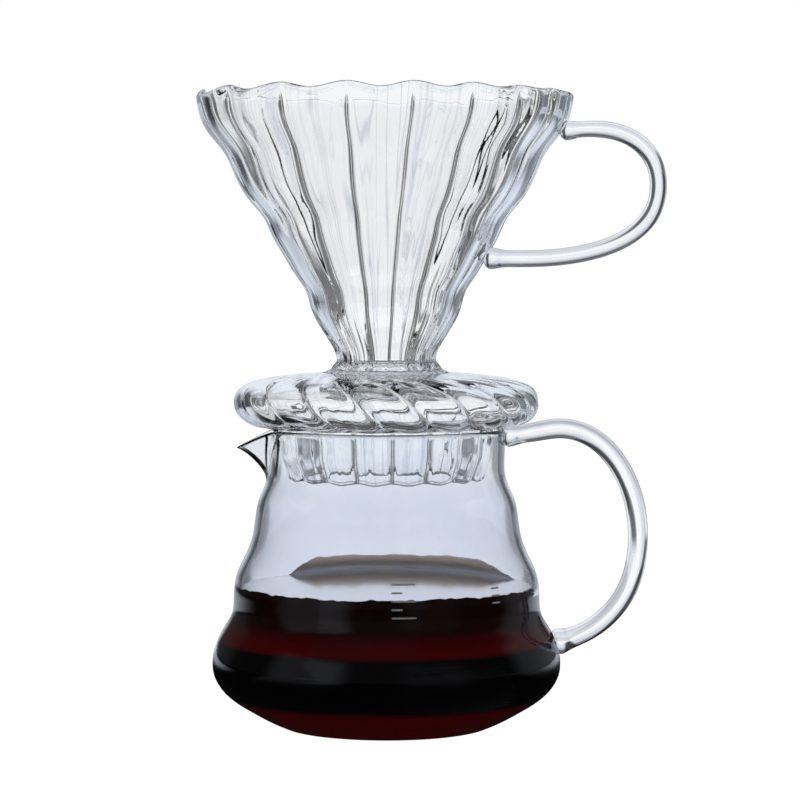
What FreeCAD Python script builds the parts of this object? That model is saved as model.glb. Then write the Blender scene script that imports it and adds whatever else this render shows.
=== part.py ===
import FreeCAD, Part
import math
import os

# Glass pour-over dripper standing on its glass server.  Millimetres, +Z up.
# The origin is the centre of the server's base, on the surface it stands on.
# The pouring lip points along -X and both handles lie along +X.

V = FreeCAD.Vector

# ---------------------------------------------------------------- dimensions
WALL = 2.0                # blown glass wall
LIP_RISE = 0.6 * WALL     # how far a rounded lip stands above the end of its wall
FLUTES = 18               # lobes round the cone, the foot and the collar
POINTS_PER_FLUTE = 6

# Server (carafe): radius and height up the outside of the wall
CARAFE_OUTLINE = [(33.0, 0.0), (37.5, 2.0), (43.6, 5.4), (51.0, 10.6), (54.6, 16.4), (54.4, 24.0),
                  (51.8, 30.2), (48.8, 35.6), (48.3, 41.6), (46.9, 49.0), (43.2, 57.0), (41.6, 64.5),
                  (40.2, 71.8), (37.5, 78.6), (37.2, 84.0), (37.5, 92.7)]
CARAFE_TOP = 93.9         # the rounded top of its rim
CARAFE_FLOOR = 2.6        # thickness of the base plate
FLOOR_BEND = 6.0          # width of the bend between the floor and the inside of the wall
COFFEE_LEVEL = 44.1
COFFEE_GAP = 0.3          # between the coffee and the glass
CARAFE_POINTS = 120       # control points round the server

# Pouring lip: a pointed beak pulled out of the rim
BEAK_REACH = 10.3         # how far its tip stands out of the neck
BEAK_DROP = 6.0           # how far its tip lies below the rim
BEAK_START = 78.0         # height at which it begins
BEAK_HALF_ANGLE = math.radians(46.0)
BEAK_SPREAD = 0.6         # it has faded into the neck this far round from its tip, in radians
BEAK_SOFTNESS = 0.4       # rounds the line where it leaves the neck

# Dripper: radius and height up the outside of the cone
CONE_OUTLINE = [(16.8, 112.0), (15.7, 115.3), (17.4, 120.3), (20.9, 126.0), (23.5, 131.4), (24.9, 136.4),
                (28.0, 141.4), (32.7, 149.2), (35.7, 154.4), (38.0, 159.6), (42.0, 164.6), (45.2, 169.2),
                (48.0, 175.1), (50.0, 179.6), (53.6, 184.4), (57.0, 189.2), (58.5, 193.6), (59.3, 197.8)]
CONE_LEAN = 0.6           # hand-welded: at the rim the cone's axis lies this far towards the lip side
CONE_RIM_WAVE = 1.7       # the rim rises this much where two lobes meet
CREASE_DEPTH = 0.045      # depth of the creases between lobes, as a part of the radius
CONE_TWIST = math.radians(-7.0)   # the flutes turn this far between the rim and the neck
CONE_UNEVEN = 0.21        # hand-formed lobes: wider on the lip side, narrower on the handle side
CONE_PHASE = 0.14         # where the first crease lies, in lobes from the front

# Foot: a hollow ring, open inwards; from its lower lip out round the rim and in over the dome
FOOT_OUTLINE = [(33.2, 94.2), (37.0, 94.2), (42.0, 94.8), (46.2, 97.2), (48.2, 101.4), (47.4, 105.2),
                (44.2, 107.9), (38.1, 109.6), (28.0, 110.8), (20.0, 111.4), (14.6, 111.8)]
FOOT_MIDDLE = (38.0, 101.0)   # the middle of the hollow rim, as radius and height
FOOT_SWIRL = math.radians(24.0)    # half of what its ribs turn between the lip and the throat
FOOT_RIB_DEPTH = 1.3      # depth of the creases between its ribs

# Drip collar: hangs inside the server's neck
COLLAR_OUTLINE = [(30.9, 78.4), (31.6, 80.8), (32.8, 84.0), (33.4, 87.0), (33.6, 90.5), (34.1, 92.6),
                  (34.2, 94.0)]
COLLAR_CREASE = 0.03      # depth of its creases, as a part of the radius
COLLAR_UNEVEN = 0.06      # its lobes, and the foot's, are a little wider on the lip side
COLLAR_LIP = 0.9          # how far the rounded lower lip hangs below the wall

# Neck weld: the bead of glass that joins the cone to the foot
WELD_RADIUS = 15.6
WELD_HEIGHT = 111.9
WELD_BEAD = 1.5

# Handles: centre lines in the XZ plane, and half sizes of their oval sections
DRIPPER_HANDLE = [(56.6, 187.3), (66.0, 187.8), (76.2, 185.4), (83.0, 179.2), (85.4, 170.5), (82.9, 160.8),
                  (75.5, 153.8), (65.0, 149.6), (52.0, 147.5), (32.8, 147.3)]
DRIPPER_HANDLE_HALF = (2.7, 3.6)
CARAFE_HANDLE = [(38.4, 91.5), (46.0, 92.5), (53.5, 93.7), (60.0, 93.0), (66.8, 89.5), (72.8, 82.9),
                 (76.9, 74.6), (79.2, 64.0), (79.1, 54.0), (76.1, 43.0), (69.7, 34.3), (60.4, 28.2),
                 (54.4, 26.2)]
CARAFE_HANDLE_HALF = (3.2, 4.2)
HANDLE_ROOT = 0.62        # a handle starts this much slimmer at its upper end
HANDLE_ROOT_LENGTH = 16.0
BEAD_GROWTH = 1.2         # a handle's weld bead, compared with the handle's section
BEAD_REACH = 2.2          # half the bead's length along the handle
BEAD_SWELL = [(-1.0, 0.45), (-0.8, 0.85), (-0.3, 1.0), (0.3, 1.0), (0.8, 0.85), (1.0, 0.45)]
ROD_POINTS = 16           # control points round a rod

# Printed level marks on the front of the server
MARK_LEVELS = [39.4, 41.9, 44.4, 46.9, 49.4]
MARK_THICKNESS = 0.12
MARK_CLEARANCE = 0.02     # between a bar and the wall
MARK_HEIGHT = 0.55
MARK_ANGLE = math.radians(4.0)
MARKS_START = math.radians(2.0)
SIDE_MARKS_START = math.radians(42.0)
LONG_MARK_ANGLE = math.radians(9.0)
SIDE_MARK_LEVELS = [42.6, 44.8, 47.0, 49.2]


# ---------------------------------------------------------------- surfaces
def skin(rings, section_closed=False):
    """A smooth face over rings of control points. It closes round each ring."""
    count = len(rings)
    around = len(rings[0])
    if section_closed:
        knots = list(range(count + 1))
        mults = [1] * (count + 1)
    else:
        knots = list(range(count - 2))
        mults = [4] + [1] * (count - 4) + [4]
    surface = Part.BSplineSurface()
    surface.buildFromPolesMultsKnots(
        rings, mults, [1] * (around + 1), knots, list(range(around + 1)), section_closed, True, 3, 3)
    return surface.toShape()


def end_edges(face):
    """The face's two open ends, the first ring's edge first."""
    edges = [edge for edge in face.Edges if edge.isClosed() and not edge.isSeam(face)]
    first = face.Surface.value(face.Surface.bounds()[0], face.Surface.bounds()[2])
    return sorted(edges, key=lambda edge: edge.distToShape(Part.Vertex(first))[0])


def closed_solid(faces):
    shell = Part.makeShell(faces)
    shell.sewShape()
    solid = Part.Solid(Part.Shell(shell.Faces))
    if solid.Volume < 0:
        solid.reverse()
    return solid


def rod(rings):
    """A solid whose skin is closed by a flat cap at each end."""
    face = skin(rings)
    caps = [Part.Face(Part.Wire([edge])) for edge in end_edges(face)]
    return closed_solid([face] + caps)


def shell_wall(rings):
    """A wall whose skin runs up the outside and down the inside, to a flat ring at the bottom."""
    face = skin(rings)
    outer, inner = [Part.Wire([edge]) for edge in end_edges(face)]
    bottom = Part.Face([outer, inner])
    return closed_solid([face, bottom])


def torus_wall(rings):
    """A ring of glass: the section is closed, and so is the way round."""
    return closed_solid([skin(rings, section_closed=True)])


# ---------------------------------------------------------------- outlines
def smooth(points, step):
    """Points at even steps on the smooth curve through the outline, with the curve's left-hand normal."""
    curve = Part.BSplineCurve()
    curve.interpolate([V(x, 0, z) for x, z in points])
    count = max(8, round(curve.length() / step))
    places = []
    for spot in curve.discretize(Number=count):
        tangent = curve.tangent(curve.parameter(spot))[0]
        places.append((spot, V(-tangent.z, 0, tangent.x)))
    return places


def wall_section(points, step, wall=WALL):
    """Up the outline and back down at one wall's thickness, as (radius, height) pairs."""
    out = []
    back = []
    for spot, left in smooth(points, step):
        out.append((spot.x, spot.z))
        back.append((spot.x + left.x * wall, spot.z + left.z * wall))
    return out, back[::-1]


def rounded_lip(out, back):
    """Two points that round the edge between the end of one side and the start of the other."""
    (r0, z0), (r1, z1) = out[-1], back[0]
    rise = V(out[-1][0] - out[-2][0], 0, out[-1][1] - out[-2][1]).normalize() * LIP_RISE
    return [(r0 * 0.85 + r1 * 0.15 + rise.x, z0 + rise.z), (r0 * 0.15 + r1 * 0.85 + rise.x, z1 + rise.z)]


def crease(lobes):
    """0 on the crown of a lobe and 1 at the crease between two lobes."""
    return 1 - math.sqrt(math.sin(math.pi * lobes) ** 2 + 0.03) / math.sqrt(1.03)


def lobes_at(angle, uneven, phase=0.0):
    """How many lobes lie between the front and this angle, which is measured from -Y towards +X."""
    return FLUTES * (angle - uneven * math.cos(angle)) / (2 * math.pi) + phase


def around(count):
    return [2 * math.pi * step / count for step in range(count)]


def place(radius, angle, height):
    return V(radius * math.sin(angle), -radius * math.cos(angle), height)


# ---------------------------------------------------------------- server
def beak(angle, neck, height):
    """How far the pouring lip carries the wall out of the round neck at this angle and height."""
    off = abs((angle - 1.5 * math.pi + math.pi) % (2 * math.pi) - math.pi)
    rise = (height - BEAK_START) / (CARAFE_TOP - BEAK_START)
    if rise <= 0 or off > BEAK_SPREAD:
        return 0.0, 0.0
    rise = min(rise, 1.0)
    tip = neck + BEAK_REACH * rise
    side = tip * math.sin(BEAK_HALF_ANGLE) / math.sin(BEAK_HALF_ANGLE + off) - neck
    reach = (side + math.hypot(side, BEAK_SOFTNESS)) / 2
    fade = min(1.0, 3 * (1 - off / BEAK_SPREAD))
    return reach * fade, BEAK_DROP * rise * reach / BEAK_REACH


def carafe_rings():
    out, back = wall_section(CARAFE_OUTLINE, 2.2)
    back = [point for point in back if point[1] > CARAFE_FLOOR + 0.8]
    corner = back[-1][0]
    inner_floor = [(corner - FLOOR_BEND / 2, CARAFE_FLOOR + 0.15), (corner - FLOOR_BEND, CARAFE_FLOOR)]
    rings = []
    for radius, height in out + rounded_lip(out, back) + back + inner_floor:
        ring = []
        for angle in around(CARAFE_POINTS):
            reach, drop = beak(angle, radius, height)
            ring.append(place(radius + reach, angle, height - drop))
        rings.append(ring)
    return rings


def carafe_body():
    return rod(carafe_rings())


def coffee():
    out, back = wall_section(CARAFE_OUTLINE, 2.2, WALL + COFFEE_GAP)
    floor = CARAFE_FLOOR + COFFEE_GAP
    side = [point for point in back[::-1] if floor + 3.0 < point[1] < COFFEE_LEVEL - 1.0]
    flat = side[0][0] - 2 * FLOOR_BEND
    brim = (side[-1][0] - 0.1, COFFEE_LEVEL)
    skirt = Part.BSplineCurve()
    skirt.interpolate([V(radius, 0, height) for radius, height in [(flat, floor)] + side + [brim]])
    base = Part.makeLine(V(0, 0, floor), V(flat, 0, floor))
    surface = Part.makeLine(V(brim[0], 0, COFFEE_LEVEL), V(0, 0, COFFEE_LEVEL))
    axis = Part.makeLine(V(0, 0, COFFEE_LEVEL), V(0, 0, floor))
    half = Part.Face(Part.Wire([base, skirt.toShape(), surface, axis]))
    return half.revolve(V(0, 0, 0), V(0, 0, 1), 360)


# ---------------------------------------------------------------- dripper
def cone_rings():
    out, back = wall_section(CONE_OUTLINE, 1.8)
    low = out[0][1]
    high = out[-1][1]
    back = back[:-1] + [(out[0][0] - WALL, low)]
    rings = []
    for radius, height in out + rounded_lip(out, back) + back:
        level = min(1.0, max(0.0, (height - low) / (high - low)))
        ring = []
        for angle in around(FLUTES * POINTS_PER_FLUTE):
            turned = angle + CONE_TWIST * (1 - level)
            lobes = lobes_at(turned, CONE_UNEVEN * level, CONE_PHASE)
            depth = crease(lobes)
            lift = CONE_RIM_WAVE / 2 * math.cos(2 * math.pi * lobes) * level ** 6
            spot = place(radius * (1 - CREASE_DEPTH * depth), angle, height + lift)
            ring.append(spot - V(CONE_LEAN * level, 0, 0))
        rings.append(ring)
    return rings


def foot_rings():
    out, back = wall_section(FOOT_OUTLINE, 2.0)
    back = back[1:-1]
    total = len(out) - 1
    rings = []
    for order, (radius, height) in enumerate(out + back):
        travel = order / total if order <= total else (len(out) + len(back) - order) / total
        swell = math.sin(math.pi * min(1.0, travel)) ** 2
        ring = []
        for angle in around(FLUTES * POINTS_PER_FLUTE):
            turned = angle + FOOT_SWIRL * (travel - 0.5) * 2
            depth = crease(lobes_at(turned, COLLAR_UNEVEN)) * FOOT_RIB_DEPTH * swell
            inward = V(FOOT_MIDDLE[0] - radius, 0, FOOT_MIDDLE[1] - height)
            inward.normalize()
            ring.append(place(radius + inward.x * depth, angle, height + inward.z * depth))
        rings.append(ring)
    return rings


def collar_rings():
    out, back = wall_section(COLLAR_OUTLINE, 1.8)
    lip_top = rounded_lip(out, back)
    lip_bottom = [(back[-1][0] + 0.3, back[-1][1] - COLLAR_LIP), (out[0][0] - 0.3, out[0][1] - COLLAR_LIP)]
    rings = []
    for radius, height in out + lip_top + back + lip_bottom:
        ring = []
        for angle in around(FLUTES * POINTS_PER_FLUTE):
            depth = crease(lobes_at(angle, COLLAR_UNEVEN))
            ring.append(place(radius * (1 - COLLAR_CREASE * depth), angle, height))
        rings.append(ring)
    return rings


def neck_weld():
    return Part.makeTorus(WELD_RADIUS, WELD_BEAD, V(0, 0, WELD_HEIGHT), V(0, 0, 1))


# ---------------------------------------------------------------- handles
def handle_places(centre_line):
    """Places along a handle, with the size of its section there: it is slimmer at its upper root."""
    places = []
    gone = 0.0
    before = V(centre_line[0][0], 0, centre_line[0][1])
    for spot, left in smooth(centre_line, 3.0):
        gone += (spot - before).Length
        before = spot
        grown = min(1.0, gone / HANDLE_ROOT_LENGTH)
        places.append((spot, left, HANDLE_ROOT + (1 - HANDLE_ROOT) * grown))
    return places


def handle(centre_line, half):
    """An oval glass rod along a curve in the XZ plane."""
    rings = []
    for spot, left, size in handle_places(centre_line):
        ring = []
        for angle in around(ROD_POINTS):
            side = left * (half[0] * size * math.cos(angle))
            ring.append(spot + side + V(0, half[1] * size * math.sin(angle), 0))
        rings.append(ring)
    return rod(rings)


def weld_bead(centre_line, half, end):
    """The flattened bead of glass where one end of a handle meets the wall."""
    spot, left, root = handle_places(centre_line)[end]
    along = V(left.z, 0, -left.x)
    rings = []
    for step, swell in BEAD_SWELL:
        middle = spot + along * (BEAD_REACH * step)
        ring = []
        for angle in around(ROD_POINTS):
            size = BEAD_GROWTH * swell * root
            side = left * (half[0] * size * math.cos(angle))
            ring.append(middle + side + V(0, half[1] * size * math.sin(angle), 0))
        rings.append(ring)
    return rod(rings)


# ---------------------------------------------------------------- marks
def wall_radius(height):
    """The outside radius of the server at a height."""
    places = [spot for spot, left in smooth(CARAFE_OUTLINE, 0.25)]
    above = next(spot for spot in places if spot.z >= height and spot.z > 20)
    return above.x


def mark(height, start, sweep):
    """One printed bar: a thin band that follows the wall for a short way round."""
    low = height - MARK_HEIGHT / 2
    high = height + MARK_HEIGHT / 2
    low_radius = wall_radius(low) + MARK_CLEARANCE
    high_radius = wall_radius(high) + MARK_CLEARANCE
    corners = [place(low_radius, start, low), place(low_radius + MARK_THICKNESS, start, low),
               place(high_radius + MARK_THICKNESS, start, high), place(high_radius, start, high)]
    bar = Part.Face(Part.makePolygon(corners + corners[:1]))
    return bar.revolve(V(0, 0, 0), V(0, 0, 1), math.degrees(sweep))


def scale_marks():
    bars = []
    for order, height in enumerate(MARK_LEVELS):
        sweep = LONG_MARK_ANGLE if order % 2 == 0 else MARK_ANGLE
        bars.append(mark(height, MARKS_START, sweep))
    for order, height in enumerate(SIDE_MARK_LEVELS):
        sweep = LONG_MARK_ANGLE if order == len(SIDE_MARK_LEVELS) - 1 else MARK_ANGLE
        bars.append(mark(height, SIDE_MARKS_START, sweep))
    return Part.makeCompound(bars)


# ---------------------------------------------------------------- assembly
def build():
    return {
        "carafe_body": carafe_body(),
        "carafe_handle": handle(CARAFE_HANDLE, CARAFE_HANDLE_HALF),
        "carafe_handle_upper_weld": weld_bead(CARAFE_HANDLE, CARAFE_HANDLE_HALF, 0),
        "carafe_handle_lower_weld": weld_bead(CARAFE_HANDLE, CARAFE_HANDLE_HALF, -1),
        "scale_marks": scale_marks(),
        "coffee": coffee(),
        "dripper_cone": shell_wall(cone_rings()),
        "neck_weld": neck_weld(),
        "dripper_foot": torus_wall(foot_rings()),
        "drip_collar": torus_wall(collar_rings()),
        "dripper_handle": handle(DRIPPER_HANDLE, DRIPPER_HANDLE_HALF),
        "dripper_handle_upper_weld": weld_bead(DRIPPER_HANDLE, DRIPPER_HANDLE_HALF, 0),
        "dripper_handle_lower_weld": weld_bead(DRIPPER_HANDLE, DRIPPER_HANDLE_HALF, -1),
    }


os.makedirs("parts", exist_ok=True)
for name, shape in build().items():
    box = shape.BoundBox
    print(f"{name}: valid {shape.isValid()}, {shape.Volume / 1000:.2f} cm3, "
          f"X {box.XMin:.1f}..{box.XMax:.1f} Y {box.YMin:.1f}..{box.YMax:.1f} "
          f"Z {box.ZMin:.1f}..{box.ZMax:.1f}")
    shape.exportStep(f"parts/{name}.step")
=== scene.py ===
import math

import bpy
import numpy as np
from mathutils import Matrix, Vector


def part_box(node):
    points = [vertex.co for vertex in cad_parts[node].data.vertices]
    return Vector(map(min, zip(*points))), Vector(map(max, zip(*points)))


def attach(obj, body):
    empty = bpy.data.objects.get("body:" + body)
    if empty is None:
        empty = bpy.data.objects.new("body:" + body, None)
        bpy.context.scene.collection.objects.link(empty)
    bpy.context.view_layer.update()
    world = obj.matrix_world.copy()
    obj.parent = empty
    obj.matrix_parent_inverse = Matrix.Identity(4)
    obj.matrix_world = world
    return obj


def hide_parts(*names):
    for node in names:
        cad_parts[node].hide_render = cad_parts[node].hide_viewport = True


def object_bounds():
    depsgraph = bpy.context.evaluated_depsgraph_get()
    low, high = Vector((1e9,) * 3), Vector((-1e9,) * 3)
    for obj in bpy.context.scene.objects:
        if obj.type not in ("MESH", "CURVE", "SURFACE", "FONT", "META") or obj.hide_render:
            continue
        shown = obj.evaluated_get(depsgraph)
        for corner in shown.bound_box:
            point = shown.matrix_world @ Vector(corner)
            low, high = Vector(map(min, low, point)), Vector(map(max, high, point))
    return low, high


# Looks of a glass pour-over dripper on its glass server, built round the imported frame.
# Sizes and places are in millimetres, as in the CAD part, and each mesh is made from them in metres.
# The pouring lip points along -X, both handles lie along +X, and the front faces -Y.

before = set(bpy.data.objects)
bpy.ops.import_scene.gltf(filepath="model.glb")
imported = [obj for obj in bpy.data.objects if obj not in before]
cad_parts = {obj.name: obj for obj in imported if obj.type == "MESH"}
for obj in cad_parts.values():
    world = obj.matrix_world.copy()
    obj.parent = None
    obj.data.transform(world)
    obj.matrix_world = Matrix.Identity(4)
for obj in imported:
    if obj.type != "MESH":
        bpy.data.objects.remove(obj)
cad_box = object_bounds()

MM = 0.001
TURN = 2 * math.pi


def lowest(node):
    """The height of a CAD node's lowest point."""
    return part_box(node)[0].z / MM


def highest(node):
    """The height of a CAD node's highest point."""
    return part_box(node)[1].z / MM


def middle(node):
    """Where the middle of a CAD node lies, as x and height."""
    low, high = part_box(node)
    return (low.x + high.x) / 2 / MM, (low.z + high.z) / 2 / MM


def raised(points, base):
    """Points (radius, height) with their heights counted from the table, and not from the base height."""
    return [(radius, base + height) for radius, height in points]


# ------------------------------------------------------------------ dimensions
# Glass.  An outline is (radius, height) up the outside of a wall.
WALL = 2.0
COLLAR_WALL = 1.8
FLUTES = 18
CREASE_DEPTH = 0.80       # of the sharp valley outside, where two flutes meet
CREASE_WIDTH = 0.85       # the valley's depth falls off to about a third this far from its bottom
BACK_SOFTNESS = 0.25      # depth of the valleys round the back, as a part of CREASE_DEPTH
BACK_TURN = (-0.5, 0.3)   # they deepen between these two, as cosines of the angle from the front
CREASE_ROUNDING = 0.03    # rounds the broad scallops where two flutes meet
INNER_ROUNDING = 0.07     # rounds them more on the inside
COLUMN_CROWDING = 1.5     # how strongly a mesh's columns crowd towards the creases
STREAK_DEPTH = 0.012      # of the fine streaks that follow the flutes
FLOW_RADIUS = 50.0        # of the cylinder that the flutes' texture coordinates lie on

# Waves round the glass: their number, drift with height, phase and size
CARAFE_WOBBLE = [(3, 0.05, 0.0, 0.05), (5, -0.11, 0.0, 0.03)]
BUBBLE_EDGE = [(5, 0, 0.0, 0.160), (13, 0, 2.1, 0.142), (29, 0, 4.2, 0.124), (47, 0, 6.3, 0.106),
               (71, 0, 8.4, 0.088), (97, 0, 10.5, 0.070)]
STREAKS = [(31, 0.0, 0.0, 1.0), (47, 0.0135, 1.7, 0.741), (68, -0.0199, 3.4, 0.588), (89, 0.0159, 5.1, 0.488),
           (113, -0.0035, 6.8, 0.417)]
WELD_CRINKLE = [(19, 2, 19, 0.10), (37, -3, 37, 0.07), (61, 4, 61, 0.045), (88, -3, 88, 0.03)]

# Server
SERVER_COLUMNS = 360
CARAFE_STEP = 1.3         # the rows of a mesh lie this far apart along its outline
FINE_STEP = 0.5           # the same, for what lies on the wall
CARAFE_OUTLINE = [(33.0, 0.0), (37.5, 2.0), (43.6, 5.4), (51.0, 10.6), (54.6, 16.4), (54.4, 24.0),
                  (51.8, 30.2), (48.8, 35.6), (48.3, 41.6), (46.9, 49.0), (43.2, 57.0), (41.6, 64.5),
                  (40.2, 71.8), (37.5, 78.6), (37.2, 84.0), (37.5, 92.7)]
CARAFE_TOP = 93.9         # the rounded top of its rim
CARAFE_FLOOR = 2.6
FLOOR_PARTS = np.linspace(0.03, 0.975, 14)    # the floor's rows, as parts of its radius
FLOOR_FLAT = 0.86         # the floor inside is level out to this part of its radius
FLOOR_RISE = 0.6          # and then bends up this much
BASE_HOLLOW = 0.25        # the base's middle stands this far off the table
BASE_ROWS = 12
BASE_CENTRE = 1.0         # radius of the base's innermost row
BASE_RIM = 0.6            # the outermost row lies this far inside the base's edge
WOBBLE_RADIUS = 20.0      # the glass wobbles in full outside this radius
BELLY_TOP = 30.0          # what lies on the wall lies above this height

BEAK_ANGLE = 0.75 * TURN
BEAK_REACH = 10.3
BEAK_DROP = 6.0
BEAK_START = 78.0
BEAK_HALF_ANGLE = math.radians(46.0)
BEAK_SPREAD = 0.6         # it has faded into the neck this far round from its tip, in radians
BEAK_FADE = 3             # it fades over the last third of that
BEAK_SOFTNESS = 0.8       # rounds the line where it leaves the neck

# Coffee
COFFEE_LEVEL = highest("coffee")
COFFEE_OVERLAP = 0.02     # the coffee wets the glass, so its skin lies just inside the glass
BASE_OVERLAP = 1.3        # and further inside it round the base
BASE_BEND = (3.0, 10.0)   # the heights between which the one turns into the other
COFFEE_SIDE_ROWS = 48
MENISCUS_RISE = 0.3
MENISCUS_STEEPNESS = 1.1
EDGE_CALM = 0.3           # rise of the coffee's edge round the back, as a part of the rise in front
EDGE_TURN = (-0.3, 0.3)   # it grows between these cosines of the angle from the front
SURFACE_INSETS = (0.15, 0.4, 0.8, 1.3, 1.9, 2.6, 3.4, 5.0, 8.0, 14.0, 22.0, 32.0, 42.0)

# The film of coffee left on the wall behind, above the level
FILM_GAP = 0.05
FILM_THICKNESS = 0.12
FILM_RISE = 4.9
FILM_SUNK = 0.3           # its lower edge lies this far below the coffee's level
FILM_START = math.radians(180 - 69)
FILM_END = math.radians(180 + 47)
FILM_SLOPES = (math.radians(28), math.radians(16))    # it rises and falls over these angles at its ends
FILM_SWELLS = (17, 0.25)  # number round the glass and size of the swells of its upper edge
FILM_FRAYS = (43, 0.12)   # and of the finer ones
FILM_LEAST = 0.02         # part of its rise that is left at its ends
FILM_LOWEST = 0.1
FILM_COLUMNS = 120
FILM_ROWS = 12

# Printed level bars
MARK_HALF = 0.275         # half of a bar's height
MARK_GAP = 0.02
MARK_TOP = 0.1            # the ink stands this far proud of the glass
MARK_COLUMNS = 24
MARK_ROUND = 1.5          # columns that a bar's end takes to round off
MARK_NARROWING = 0.9      # part of a bar's squared height that is gone at its very end
LONG_MARK = math.radians(9.0)
SHORT_MARK = math.radians(4.0)
MARKS_START = math.radians(2.0)
SIDE_MARKS_START = math.radians(42.0)
MARK_LEVELS = np.linspace(lowest("scale_marks") + MARK_HALF, highest("scale_marks") - MARK_HALF, 5)
SIDE_MARK_DROP = 0.2      # the side row's top bar lies this far below the front row's
SIDE_MARK_STEP = 2.2

# Dripper: the cone's and the weld's heights count from the cone's lower edge,
# and the foot's and the collar's from the foot's lower lip
CONE_STEP = 1.9
CONE_COLUMNS = 36         # a flute
CONE_OUTLINE = raised([(16.8, 0.0), (15.7, 3.3), (17.4, 8.3), (20.9, 14.0), (23.5, 19.4), (24.9, 24.4),
                       (28.0, 29.4), (32.7, 37.2), (35.7, 42.4), (38.0, 47.6), (42.0, 52.6), (45.2, 57.2),
                       (48.0, 63.1), (50.0, 67.6), (53.6, 72.4), (57.0, 77.2), (58.5, 81.6), (59.3, 85.8)],
                      lowest("dripper_cone"))
CONE_LEAN = 0.6           # at the rim the cone's axis lies this far towards the lip side
CONE_RIM_WAVE = 1.7       # the rim rises this much where two lobes meet
RIM_WAVE_POWER = 6        # the wave grows towards the rim with this power of the height
RIM_CALM = 0.7            # it is this much lower on the handle side
RIM_CALM_TURN = (0.2, 0.9)    # and falls to that between these sines of the angle from the front
CONE_CREASE = 0.032       # depth of the broad scallops, as a part of the radius
RIM_FADE = 3.5            # the sharp creases fade out this near to the rim
CONE_TWIST = math.radians(-7.0)   # the flutes turn this far between the rim and the neck
CONE_UNEVEN = 0.21        # the lobes are wider on the lip side
CONE_PHASE = 0.14         # where the first crease lies, in lobes from the front

FOOT_STEP = 1.3
FOOT_COLUMNS = 30
FOOT_BASE = lowest("dripper_foot")
FOOT_OUTLINE = raised([(33.2, 0.0), (37.0, 0.0), (42.0, 0.6), (46.2, 3.0), (48.2, 7.2), (47.4, 11.0),
                       (44.2, 13.7), (38.1, 15.4), (28.0, 16.6), (20.0, 17.2), (14.6, 17.6)], FOOT_BASE)
FOOT_MIDDLE = (38.0, FOOT_BASE + 6.8)     # the middle of its hollow rim
FOOT_SWIRL = math.radians(24.0)   # half of what its ribs turn between the lip and the throat
FOOT_RIB_DEPTH = 1.8
RIBS_GROW = (0.02, 0.12)  # its ribs grow in and fade out between these parts of the outline
RIBS_FADE = (0.36, 0.72)

COLLAR_STEP = 1.0
COLLAR_OUTLINE = raised([(30.9, -15.8), (31.6, -13.4), (32.8, -10.2), (33.4, -7.2), (33.6, -3.7),
                         (34.1, -1.6), (34.2, -0.2)], FOOT_BASE)
COLLAR_CREASE = 0.02
COLLAR_SHARPNESS = 0.95   # depth of its sharp valleys, as a part of CREASE_DEPTH
COLLAR_UNEVEN = 0.06      # its lobes, and the foot's, are a little wider on the lip side
COLLAR_WAVE = 0.35        # its lower edge waves up and down this much
COLLAR_WAVE_POWER = 3

WELD_STEP = 0.35
WELD_COLUMNS = 540
WELD_SECTION = raised([(15.3, 2.6), (14.5, 1.4), (14.4, -1.5), (14.8, -4.0), (16.2, -4.8), (17.8, -3.8),
                       (18.8, -2.2), (20.2, -1.0), (18.4, -0.1), (17.1, 0.9), (16.2, 2.2), (15.6, 2.8)],
                      lowest("dripper_cone"))

# Handles: points (x, height) of the centre line between its two welds, and the section's half sizes
DRIPPER_HANDLE = [(66.0, 187.8), (76.2, 185.4), (83.0, 179.2), (85.4, 170.5), (82.9, 160.8), (75.5, 153.8),
                  (65.0, 149.6), (52.0, 147.5)]
DRIPPER_HANDLE_HALF = (2.7, 3.6)
CARAFE_HANDLE = [(46.0, 92.5), (53.5, 93.7), (60.0, 93.0), (66.8, 89.5), (72.8, 82.9), (76.9, 74.6),
                 (79.2, 64.0), (79.1, 54.0), (76.1, 43.0), (69.7, 34.3), (60.4, 28.2)]
CARAFE_HANDLE_HALF = (3.2, 4.2)
HANDLE_STEP = 0.9
HANDLE_COLUMNS = 64
HANDLE_ROOT = 0.85        # a handle starts this much slimmer at its upper end
HANDLE_ROOT_LENGTH = 16.0
ROOT_DEPTH = 2.4          # each end goes on this far into the glass that it is welded to
ROOT_ROWS = np.array([1.0, 0.97, 0.88, 0.73, 0.52, 0.25])    # an end's rows, as parts of that
FLARE = 0.28              # each end swells by this part, as a bead
FLARE_LENGTH = 3.0
TIP_AREA = 0.002          # least of a tip's squared size, so that it doesn't shrink to nothing

# Camera
EYE = (4.25, -929.0, 147.7)
EYE_TILT = math.radians(2.775)
SENSOR_WIDTH = 36.0
LENS = 132.8


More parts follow.
